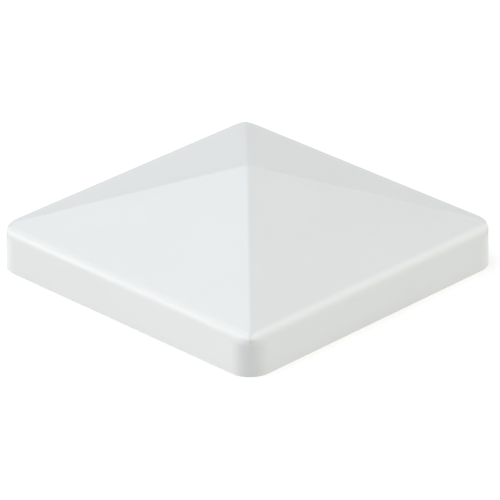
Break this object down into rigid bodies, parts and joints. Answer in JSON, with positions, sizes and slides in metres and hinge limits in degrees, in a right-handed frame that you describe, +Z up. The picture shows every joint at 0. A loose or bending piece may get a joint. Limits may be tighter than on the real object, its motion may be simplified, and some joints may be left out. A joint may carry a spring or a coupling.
{
  "type": "fence post cap",
  "caption": "Low pyramid cap with a short rounded skirt that covers the top of a square vinyl fence post, held by foam adhesive pads inside.",
  "frame": {"origin": "centre of the plane that the skirt's rim lies in, on the cap's axis", "axes": "+Z up through the roof's apex, +X and +Y square to the skirt's sides; front is -Y"},
  "size_m": [0.134, 0.134, 0.0416],
  "materials": {
    "shell_plastic": "smooth satin white, moulded",
    "pad_foam": "dark grey closed-cell foam with a tacky adhesive face"
  },
  "bodies": {
    "root": {"cap_shell": "shell_plastic", "mounting_pad_front_a": "pad_foam", "mounting_pad_front_b": "pad_foam", "mounting_pad_right_a": "pad_foam", "mounting_pad_right_b": "pad_foam", "mounting_pad_back_a": "pad_foam", "mounting_pad_back_b": "pad_foam", "mounting_pad_left_a": "pad_foam", "mounting_pad_left_b": "pad_foam"}
  },
  "joints": []
}
